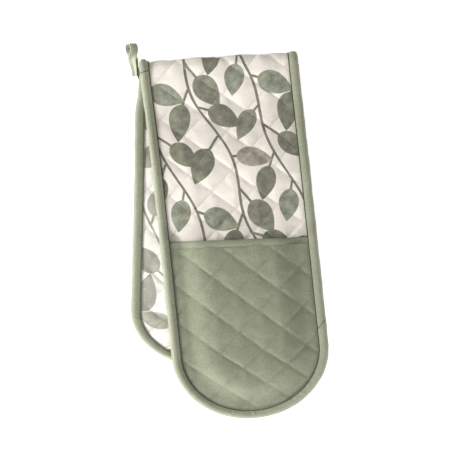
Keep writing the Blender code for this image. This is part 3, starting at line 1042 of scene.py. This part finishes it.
for half, towards, length, mouth in halves:
    name = half + "_band_wadding"
    made[name] = make_cloth(
        name, pad_cell, wadding_low, wadding_top, wadding_white, fold_reach, towards)
    print(half, "band:", len(made[half + "_outer_cloth"].data.polygons), "faces in the outer cloth")
made["fold_band_wadding"] = make_cloth(
    "fold_band_wadding", fold_pad_cell, wadding_low, wadding_top, wadding_white,
    stretch=(-fold_reach, fold_reach))

# %% [markdown]
# ## The hand pockets
#
# Each end has a round pocket of plain sage cloth, quilted by itself before it was sewn on.
# It has three plies too. The room for the hand is left under it, as in the solids.

# %% Pocket cloth, wadding and lining
hem_overlap = 0.002  # the hem grips this much of the pocket's plies
pocket_seeds = {"front": 11, "back": 12}


def pocket_lining_high(across, along):
    return pocket_base(across, along) + fabric


def pocket_wadding_low(across, along):
    return pocket_base(across, along) + fabric + ply_gap


for half, towards, length, mouth in halves:
    near = mouth + hem_depth - hem_overlap
    seed = pocket_seeds[half]
    sheet = quilted_sheet(
        half + "_pocket_sheet", pocket_turn, [fold_cut(towards * near, -towards)] + round_cuts(towards),
        lambda across, along: pocket_swell(across, along, seed), pocket_full, pocket_crown, pocket_line)
    sheets[half + "_pocket"] = sheet
    name = half + "_pocket_cloth"
    made[name] = lay(sheet, name, [], pocket_level, 1.0, pocket_cloth)
    for name, cell, low, high, finish in (
        (half + "_pocket_pad", pad_cell, pocket_wadding_low, pocket_top, wadding_white),
        (half + "_lining_cloth", lining_cell, pocket_base, pocket_lining_high, lining_cloth),
    ):
        made[name] = make_cloth(name, cell, low, high, finish, near, towards)
    print(half, "pocket:", len(made[half + "_pocket_cloth"].data.polygons), "faces in its cloth")

# %% [markdown]
# ## The hem of a pocket
#
# The mouth of each pocket is bound with a strip of the pocket's own cloth, folded over the
# edge and stitched down. A grid rolled into that section, round the nose and flat behind it,
# shows the soft edge that a straight cut would not.

# %% A strip rolled round the mouth
hem_nose, hem_flat, hem_rows = 10, 6, 110  # columns round the nose and on each side, and rows
hem_wall, hem_wave = 0.0009, 0.0004
hem_rise = 0.0010  # the hem stands a little over the cloth beside it


def hem_section(across, mouth_side, columns):
    """Distance past the mouth and height of each column of the hem, at places across."""
    along = along_at(across, mouth_side)
    low = pocket_base(across, along) + hem_wall / 2
    high = pocket_level(across, along) + hem_rise * openness(across, along, press_slope)
    middle, reach = (high + low) / 2, (high - low) / 2
    back = hem_depth - reach
    rows = []
    for column in range(columns):
        if column < hem_flat:
            share = 1 - column / hem_flat
            sinking = float(smooth((share - 0.35) / 0.5))  # its sewn edge lies level with the cloth
            sunk = hem_rise * openness(across, along, press_slope) * sinking
            rows.append((reach + back * share, high - sunk))
        elif column <= hem_flat + hem_nose:
            angle = math.pi * (column - hem_flat) / hem_nose
            rows.append((reach - reach * np.sin(angle), middle + reach * np.cos(angle)))
        else:
            share = (column - hem_flat - hem_nose) / hem_flat
            rows.append((reach + back * share, low))
    return rows


def make_hem(name, mouth, towards):
    columns = 2 * hem_flat + hem_nose + 1
    piece, shares = new_grid(name, columns - 1, hem_rows)
    across = cloth_half * (shares[:, 1] * 2 - 1)
    order = np.rint(shares[:, 0] * (columns - 1)).astype(int)
    section = hem_section(across, towards * mouth, columns)
    past, height = (
        np.array([np.broadcast_to(part, across.shape) for part in parts])[order, np.arange(len(across))]
        for parts in zip(*section))
    along = along_at(across, towards * (mouth + past)) + hem_wave * ripple(across, across * 0.0, 8)
    set_cut_map(piece, np.column_stack([across, shares[:, 0] * 0.03]))
    set_points(piece, folded(across, along, height))
    thicken(piece, hem_wall, 0.0)
    return finish_cloth(piece, pocket_cloth, 60)


for half, towards, length, mouth in halves:
    made[half + "_hem"] = make_hem(half + "_hem", mouth, towards)
    print(half, "hem:", len(made[half + "_hem"].data.polygons), "faces")

# %% [markdown]
# ## The binding
#
# A bias tape is folded over the raw edge all the way round. A curve with a bevel could draw
# it, but its section changes where it climbs on to the pockets, and the tape puckers where it
# turns. So it is a grid again: one way runs round the edge, the other rolls from the outside
# face over the edge to the inside face. The tape's two ends meet in a slanting join on the
# right, and at the fold's left corner one stretch is lapped over the next like a cap. Shade is
# painted into the tape's colour beside its free edges, along the join and along the crease
# under the cap.

# %% The tape's section and its puckers
tape_shares = np.array([0.0, 0.06, 0.11, 0.15, 0.19, 0.25, 0.33, 0.42, 0.52, 0.64, 0.76, 0.88])
bind_flat_columns, bind_turn_columns = len(tape_shares), 11
bind_columns = 2 * bind_flat_columns + bind_turn_columns
stitch_share, sewn_width = 0.15, 0.055  # shares of the way from the tape's free edge to its turn
sewn_depth = 0.00055
full_roll, slack_roll = 0.0027, 0.0011  # on the left side, and on the end and the right
inner_roll = 0.0007
pucker_height = 0.00032
pucker_lengths = (0.0062, 0.0083, 0.0117, 0.021, 0.047)
end_pucker = 1.7  # the tape puckers more where it turns round the end


def bind_faces(distance):
    edge = band_wadding / 2 * pressed_share + ply_gap + fabric
    mouth = front_mouth if distance > 0 else back_mouth
    share = (abs(distance) - mouth + bind_climb) / bind_climb
    pocket = 2 * (fabric + ply_gap) + pocket_wadding * pressed_share
    outside = edge + (pocket_seat + pocket) * float(smooth(share))
    return outside + bind_seat, edge + bind_seat


def tape_roll(share, full):
    """Height of the soft roll, from the tape's free edge at share 0 to its turn at 1."""
    sewn = np.exp(-((share - stitch_share) / sewn_width) ** 2)
    return full * smooth((share - 0.12) / 0.66) - sewn_depth * sewn


def pucker(place, inward, seed, strength=1.0):
    rng = np.random.default_rng(seed)
    total = 0.0
    for length in pucker_lengths:
        lean, phase = rng.uniform(-0.6, 0.6), rng.uniform(0, 2 * math.pi)
        total = total + np.sin(2 * math.pi * (place + lean * inward) / length + phase) / 3
    swell = 0.6 + 0.4 * math.sin(2 * math.pi * place / 0.083 + seed)
    return pucker_height * strength * swell * total


def bind_section(distance, place, seed, strength=1.0, side=-1.0):
    """(inward, height) of every column of the tape, this far round."""
    outer_roll = slack_roll + (full_roll - slack_roll) * max(0.0, -side)
    outside, inside = bind_faces(distance)
    outside, inside = outside + bind_cloth / 2, inside + bind_cloth / 2
    centre, reach = (outside - inside) / 2, (outside + inside) / 2
    depth = bind_round - bind_cloth / 2
    flat_in = bind_show - (bind_show - bind_round) * tape_shares
    folds = pucker(place, flat_in, seed, strength)
    folds = folds * np.sin(math.pi * np.clip(tape_shares + 0.12, 0, 1))
    angle = math.pi * np.arange(bind_turn_columns) / (bind_turn_columns - 1)
    wobble = 1 + 0.035 * math.sin(2 * math.pi * place / 0.061 + seed)
    wobble = wobble + 0.03 * math.sin(2 * math.pi * place / 0.023)
    turn_in = bind_round - depth * np.sin(angle) * wobble
    inward = np.concatenate([flat_in, turn_in, flat_in[::-1]])
    roll = np.where(angle < math.pi / 2, outer_roll, inner_roll)
    turn = centre + (reach + roll) * np.cos(angle)
    over = tape_roll(tape_shares, outer_roll) + folds
    under = tape_roll(tape_shares, inner_roll) + folds
    return inward, np.concatenate([outside + over, turn, -inside - under[::-1]])


# %% The tape round one half
join_at, join_width = 0.3065, 0.0010
join_step, join_fade, join_groove = 0.0006, 0.006, 0.0009
join_columns = bind_flat_columns + 2  # the join shows on the outer face
tape_seed = 4


def side_row(side, towards, run, first, last, place, seed):
    lean = 1 - (run - first) / (last - first)
    inward, height = bind_section(towards * run, place, seed, 1.0, side)
    if towards > 0 and side > 0:
        off = run - join_at - join_lean * inward[:join_columns]
        height[:join_columns] += join_step * np.tanh(off / join_width) * np.exp(-np.abs(off) / join_fade)
        height[:join_columns] -= join_groove * np.exp(-((off / join_width) ** 2))
    across = side * (half_width - inward)
    square = side * half_width * lean + across * (1 - lean)
    along = along_at(side * half_width, towards * run) + (across - square) * math.tan(splay)
    return across, along, height


def end_row(angle, towards, place, seed):
    start = float(end_start(towards))
    inward, height = bind_section(towards * start, place, seed, end_pucker, -math.cos(angle))
    radius = half_width - inward
    return -radius * math.cos(angle), towards * (start + radius * math.sin(angle)), height


def tape_rows(towards, step, seed=tape_seed):
    first, last = fold_reach, float(end_start(towards)) - 0.001
    count = math.ceil((last - first) / step)
    runs = [first + (last - first) * row / count for row in range(count + 1)]
    turns = math.ceil(math.pi * half_width / step)
    rows = [side_row(-1.0, towards, run, first, last, run, seed) for run in runs]
    for turn in range(1, turns):
        place = last + half_width * math.pi * turn / turns
        rows.append(end_row(math.pi * turn / turns, towards, place, seed))
    for run in reversed(runs):
        place = last * 2 + math.pi * half_width - run
        rows.append(side_row(1.0, towards, run, first, last, place, seed))
    return rows


# %% The tape as a piece
turn_path = tape_flat + (tape_across - 2 * tape_flat) * np.linspace(0, 1, bind_turn_columns)
far_path = tape_across - tape_flat * tape_shares[::-1]
tape_path = np.concatenate([tape_flat * tape_shares, turn_path, far_path])


def tape_piece(name, rows, step, joined=None, lean=join_lean):
    """A tape through rows of flat places and heights, given its thickness and folded.

    Its UV map is 0 along the tape where a line of painted shade runs, as at the join, and far
    from 0 on a tape with none. The map is sheared for a line that leans less than the join.
    """
    piece, shares = new_grid(name, bind_columns - 1, len(rows) - 1)
    column = np.rint(shares[:, 0] * (bind_columns - 1)).astype(int)
    row = np.rint(shares[:, 1] * (len(rows) - 1)).astype(int)
    table = np.array([np.broadcast_arrays(*parts) for parts in rows])
    across, along, height = table[row, :, column].T
    join_row = len(rows) - 1 - (joined - fold_reach) / step if joined else -1000
    shear = (join_lean - lean) * (tape_path[column] - bind_show)
    set_cut_map(piece, np.column_stack([tape_path[column], (row - join_row) * step + shear]))
    set_points(piece, folded(across, along, height))
    laid_out = folded(table[:, 0], table[:, 1], table[:, 2])
    thicken(piece, bind_cloth, 0.0)
    return finish_cloth(piece, binding_cloth, 60)


# %% The tape round the fold, and all four pieces of it
fold_steps = 24
cap_lift, cap_start, cap_slope = 0.0009, -0.004, 0.010
cap_columns = bind_flat_columns + 4
# The painted shade line of the crease under the cap lies this far from the fold, and leans less than the
# join.
cap_marks, cap_lean = {"fold_tape_left": fold_reach + 0.0012, "fold_tape_right": None}, 0.25
tape_steps = {"front": 0.0012, "back": 0.0019}


def fold_rows(side):
    """The tape round the fold. On the left it is lapped over the front tape, like a cap."""
    rows = []
    for count in range(fold_steps + 1):
        distance = fold_reach * (count / (fold_steps / 2) - 1)
        inward, height = bind_section(distance, abs(distance), tape_seed, 1.0, side)
        if side < 0:
            height[:cap_columns] += cap_lift * float(smooth((distance - cap_start) / cap_slope))
        across = side * (half_width - inward)
        rows.append((across, along_at(across, distance), height))
    return rows


for half, towards, length, mouth in halves:
    rows, joined = tape_rows(towards, tape_steps[half]), join_at if half == "front" else None
    made[half + "_tape"] = tape_piece(half + "_tape", rows, tape_steps[half], joined)
    print(half, "binding:", len(made[half + "_tape"].data.polygons), "faces")
for side, name in ((-1.0, "fold_tape_left"), (1.0, "fold_tape_right")):
    step = 2 * fold_reach / fold_steps
    made[name] = tape_piece(name, fold_rows(side), step, cap_marks[name], cap_lean)

# %% [markdown]
# ## Stitches
#
# Every line of quilting, every free edge of the tape and both hems are sewn. A bump texture
# could hint at the thread, but it vanishes in a close view. One stitch is modelled, a thin
# bead of thread, and copied along each line. The copies are sent through the same fold as
# the cloth, so a stitch lies on the cloth wherever that goes. The band is sewn in a pale
# thread, the pockets in sage, and the hems and the tape in a darker sage. Blender lists a
# sphere's points and faces in an order that changes from run to run, so the bead's are sorted.

# %% One stitch and its copies
stitch_half, stitch_round, stitch_pitch = 0.00120, 0.00021, 0.0033
stitch_seat = stitch_round / 4  # how far a stitch's middle stands out of the cloth


def one_stitch():
    """The bead's points, from -1 to 1 in each direction, and its faces."""
    bpy.ops.object.select_all(action="DESELECT")
    bpy.ops.mesh.primitive_uv_sphere_add(
        segments=6, ring_count=5, radius=1.0, rotation=(0, math.pi / 2, 0))
    bpy.ops.object.transform_apply(rotation=True)
    bead = bpy.context.object
    points, faces = points_of(bead), []
    order = np.lexsort(points.round(4).T)
    rank = np.argsort(order)
    for face in bead.data.polygons:
        corners = [int(rank[corner]) for corner in face.vertices]
        first = corners.index(min(corners))
        faces.append(corners[first:] + corners[:first])
    bpy.data.objects.remove(bead)
    return points[order], sorted(faces)


bead_points, bead_faces = one_stitch()


def sew(name, places, directions, heights, side, finish, strands=1.0):
    """One bead at every flat place, along its direction, standing out on one side."""
    long, wide, out = (bead_points * (stitch_half, stitch_round * strands, stitch_round * strands)).T
    right, up = directions[:, :1], directions[:, 1:]
    across = places[:, :1] + long * right - wide * up
    along = places[:, 1:] + long * up + wide * right
    height = heights[:, None] + side * out
    points = folded(across, along, height).reshape(-1, 3)
    count = len(bead_points)
    faces = [[corner + count * copy for corner in face]
             for copy in range(len(places)) for face in bead_faces]
    data = bpy.data.meshes.new(name)
    data.from_pydata(points.tolist(), [], faces)
    piece = bpy.data.objects.new(name, data)
    bpy.context.scene.collection.objects.link(piece)
    set_cut_map(piece, np.column_stack([across.ravel(), along.ravel()]))
    return finish_cloth(piece, finish, 60)


def quilting_lines(turned):
    """Places and directions of the stitches on both families of lines, over the whole band."""
    count = math.ceil((front_length + band_width) / quilt_side)
    lines = np.arange(-count, count + 1)
    steps = np.arange(-count, count, stitch_pitch / quilt_side)
    first, second = (part.ravel() for part in np.meshgrid(lines, steps))
    cos, sin = math.cos(quilt_angle), math.sin(quilt_angle)
    places, directions = [], []
    for one, other, turn in ((first, second, -1.0), (second, first, 1.0)):
        across = (one + other - turned) * quilt_side * cos
        along = (one - other + turned) * quilt_side * sin
        places.append(np.column_stack([across, along]))
        directions.append(np.tile([cos, turn * sin], (len(across), 1)))
    return np.concatenate(places), np.concatenate(directions)


def cloth_heights(sheet, places):
    """Height of the quilted sheet at each place, from its nearest point."""
    points = points_of(sheet)
    tree = kdtree.KDTree(len(points))
    for number, (across, along, height) in enumerate(points):
        tree.insert((across, along, 0.0), number)
    tree.balance()
    return np.array([points[tree.find((across, along, 0.0))[1], 2] for across, along in places])


sewn_margin = 0.001  # the stitches stop this far inside the tape


def sew_quilting(name, sheet, turned, low, high, level, side, finish):
    """The stitches of one quilted cloth between two distances from the fold."""
    places, directions = quilting_lines(turned)
    across, along = places.T
    distance = fold_distance(across, along)
    inside = (distance > low) & (distance < high)
    inside &= edge_distance(across, along) > bind_show + sewn_margin
    places, directions = places[inside], directions[inside]
    heights = side * (level(*places.T) + cloth_heights(sheet, places) + stitch_seat)
    made[name] = sew(name, places, directions, heights, side, finish)
    print(name + ":", len(places))


# %% The quilting
# The band's lines run on this far under the hem, and the pocket's begin this far past it.
under_hem, past_the_hem = 0.004, 0.0015
for kind, face, side, front_stop, back_stop in (
    ("quilting", "outer", 1.0, front_mouth + under_hem, back_mouth + under_hem),
    ("inner_quilting", "inner", -1.0, front_length, back_length),
):
    for stretch, low, high in (
        ("front", fold_reach, front_stop),
        ("fold", -fold_reach, fold_reach),
        ("back", -back_stop, -fold_reach),
    ):
        sew_quilting(f"{stretch}_{kind}", sheets[face], 0.0, low, high, band_level, side, print_thread)
for half, towards, length, mouth in halves:
    ends = sorted((towards * (mouth + hem_depth + past_the_hem), towards * length))
    sheet = sheets[half + "_pocket"]
    sew_quilting(half + "_pocket_quilting", sheet, pocket_turn, *ends, pocket_level, 1.0, pocket_thread)

# %% The edge of the tape and the hems
edge_column = float(np.interp(stitch_share, tape_shares, np.arange(bind_flat_columns)))
hem_grip, hem_strands = 0.12, 1.7  # share of the hem's rise under its thread, which is thicker


def sew_tape(name, rows, side):
    """Stitches along the tape's free edge, on its outer or its inner face."""
    table = np.array([np.broadcast_arrays(*parts) for parts in rows])
    column = edge_column if side > 0 else table.shape[2] - 1 - edge_column
    low = math.floor(column)
    line = table[:, :, low] + (column - low) * (table[:, :, low + 1] - table[:, :, low])
    middle, way = (line[1:] + line[:-1]) / 2, line[1:, :2] - line[:-1, :2]
    way = way / np.linalg.norm(way, axis=1)[:, None]
    heights = middle[:, 2] + side * (bind_cloth / 2 + stitch_seat)
    made[name] = sew(name, middle[:, :2], way, heights, side, thread_finish)
    print(name + ":", len(middle))


for half, towards, length, mouth in halves:
    for side, face in ((1.0, "outer"), (-1.0, "inner")):
        sew_tape(f"{half}_tape_{face}_stitches", tape_rows(towards, stitch_pitch), side)
for side, name in ((-1.0, "left"), (1.0, "right")):
    sew_tape(f"fold_tape_{name}_stitches", fold_rows(side)[::3], 1.0)
for half, towards, length, mouth in halves:
    across = np.arange(-1, 1, stitch_pitch / half_width) * (half_width - bind_show - sewn_margin)
    along = along_at(across, towards * (mouth + hem_stitch))
    spread = openness(across, along, press_slope)
    heights = pocket_level(across, along) + hem_rise * hem_grip * spread + hem_wall / 2 + stitch_seat
    way = np.tile([math.cos(splay), math.sin(splay)], (len(across), 1))
    name = half + "_hem_stitches"
    places = np.column_stack([across, along])
    made[name] = sew(name, places, way, heights, 1.0, thread_finish, hem_strands)

# %% [markdown]
# ## The hanging loop
#
# A doubled length of the binding tape, caught at the fold's left corner. It stands a little
# open, leans to the left and has turned on itself, so that the eye looks into it from the
# left. A curve with a bevel can't turn its section freely, so it is a grid rolled along the
# loop's path, turned and narrowed row by row.

# %% The loop's ribbon and the tack that holds it
loop_reach = 0.0363  # from the root to the top
loop_rise, loop_tail, tape_wall = 0.0098, 0.0012, 0.0011
loop_width, root_width = 0.0100, 0.0062
loop_lean, loop_turn, root_turn = 0.0030, math.radians(34), math.radians(-24)
loop_curl, leg_gap = 0.0005, tape_wall * 0.6  # how hollow the ribbon is, and its legs' spread
tack_gap, tack_half, tack_height, tack_reach = 0.0003, 0.0009, 0.0013, 0.0075
root_aside, root_down, tack_down = 0.0049, 0.0150, 0.0090
corner_left = -half_width * math.cos(splay) + float(along_at(-half_width, 0.0)) * math.sin(splay)
root_left = corner_left - tack_gap - 2 * tack_half - tack_gap - root_aside
loop_root = Vector((root_left, -root_down, crest_height)) - Vector(rest_place)
tack_left = corner_left - tack_gap - tack_half
tack_middle = Vector((tack_left, -tack_down, crest_height)) - Vector(rest_place)


def loop_path(share):
    """A point of the path from the lower tail round the top to the upper tail: along, rise."""
    widest = loop_reach - loop_rise / 2
    leg = widest + loop_tail
    total = 2 * leg + math.pi * loop_rise / 2
    run = share * total
    if leg < run < total - leg:
        angle = (run - leg) / (loop_rise / 2) - math.pi / 2
        return widest + loop_rise / 2 * math.cos(angle), loop_rise / 2 * math.sin(angle)
    from_tail = min(run, total - run)
    along = from_tail - loop_tail
    rise = leg_gap + (loop_rise / 2 - leg_gap) * float(smooth(along / widest))
    return along, math.copysign(rise, run - total / 2)


def make_ribbon(name, columns, rows):
    piece, shares = new_grid(name, columns, rows)
    places = []
    for wide, share in shares:
        along, rise = loop_path(share)
        up = float(smooth(along / loop_reach))
        widening = float(smooth(along / (loop_reach * 0.7)))
        side = (wide - 0.5) * (root_width + (loop_width - root_width) * widening)
        curl = loop_curl * math.cos(2 * math.pi * wide) * math.copysign(1.0, rise)
        turn = root_turn + (loop_turn - root_turn) * float(smooth((up - 0.40) / 0.56))
        right = side * math.cos(turn) + (rise + curl) * math.sin(turn) - loop_lean * up
        height = (rise + curl) * math.cos(turn) - side * math.sin(turn)
        places.append((loop_root.x + right, loop_root.y + along, loop_root.z + height))
    set_cut_map(piece, shares * (0.010, 0.09))
    set_points(piece, np.array(places))
    thicken(piece, tape_wall, 0.0)
    return finish_cloth(piece, loop_cloth_painted_light, 60)


def make_tack(name, columns, rows):
    """A short bar of close thread between the loop's root and the binding."""
    piece, shares = new_grid(name, columns, rows)
    turn, run = shares[:, 0] * 2 * math.pi, shares[:, 1]
    ends = np.sqrt(np.clip(1 - (2 * run - 1) ** 6, 0.0, 1.0))
    close = ends * (1 + 0.10 * np.sin(run * rows * math.pi / 2))
    x = tack_middle.x + tack_half * close * np.cos(turn)
    y = tack_middle.y + tack_reach * (2 * run - 1)
    z = tack_middle.z + tack_height * close * np.sin(turn)
    set_cut_map(piece, shares * (0.006, 0.018))
    set_points(piece, skewed(np.column_stack([x, y, z])))
    weld = piece.modifiers.new("weld", "WELD")
    weld.merge_threshold = 0.00002
    apply_modifier(piece, weld)
    return finish_cloth(piece, thread_finish, 60)


made["loop_ribbon"] = make_ribbon("loop_ribbon", 12, 110)
made["loop_bar_tack"] = make_tack("loop_bar_tack", 16, 60)
print("loop:", len(made["loop_ribbon"].data.polygons), "faces")

# %% [markdown]
# ## What moves with what
#
# Each piece takes the place of its solid and rides the half that it belongs to. The pieces
# round the fold keep the places they were made in, baked into their meshes.

# %% The flat sheets have served
for sheet in sheets.values():
    bpy.data.objects.remove(sheet)
print("pieces:", len(made))


# %% Riding
def dress(name, body, node=None):
    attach(made[name], body)
    if node:
        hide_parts(node)


for half, towards, length, mouth in halves:
    for key, node, slot in (
        ("outer_cloth", "outer_panel", "print_cloth"),
        ("inner_cloth", "inner_panel", "print_cloth_inside"),
        ("band_wadding", "wadding", "wadding"),
        ("pocket_cloth", "pocket_outer", "pocket_cloth"),
        ("pocket_pad", "pocket_wadding", "wadding"),
        ("lining_cloth", "pocket_lining", "pocket_lining_cloth"),
        ("hem", "pocket_hem", "pocket_cloth"),
        ("tape", "binding", "binding_cloth"),
    ):
        dress(f"{half}_{key}", half + "_half", f"{half}_{node}")
    for key, slot in (
        ("quilting", "print_cloth"),
        ("inner_quilting", "print_cloth_inside"),
        ("pocket_quilting", "pocket_cloth"),
        ("hem_stitches", "pocket_cloth"),
        ("tape_outer_stitches", "binding_cloth"),
        ("tape_inner_stitches", "binding_cloth"),
    ):
        dress(f"{half}_{key}", half + "_half")
dress("loop_ribbon", "hanging_loop", "hanging_loop")
dress("loop_bar_tack", "back_half", "loop_tack")

# %% The pieces round the fold
outer_bend, inner_bend, pad_bend, tape_bend = 0.0040, -0.0040, -0.0022, -0.0030
for name, slot, reach, node in (
    ("fold_outer_cloth", "print_cloth", outer_bend, "fold_outer_panel"),
    ("fold_inner_cloth", "print_cloth_inside", inner_bend, "fold_inner_panel"),
    ("fold_band_wadding", "wadding", pad_bend, "fold_wadding"),
    ("fold_tape_left", "binding_cloth", tape_bend, "fold_binding_left"),
    ("fold_tape_right", "binding_cloth", tape_bend, "fold_binding_right"),
    ("fold_quilting", "print_cloth", outer_bend, None),
    ("fold_inner_quilting", "print_cloth_inside", inner_bend, None),
    ("fold_tape_left_stitches", "binding_cloth", tape_bend, None),
    ("fold_tape_right_stitches", "binding_cloth", tape_bend, None),
):
    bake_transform(made[name])
    if node:
        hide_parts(node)


for half, towards, length, mouth in halves:
    near = mouth + hem_depth - hem_overlap

# %% Sizes beside the frame, and the end
visual_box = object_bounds()
for label, box in (("solids", cad_box), ("dressed", visual_box)):
    print(label, [round(high - low, 4) for low, high in zip(*box)])
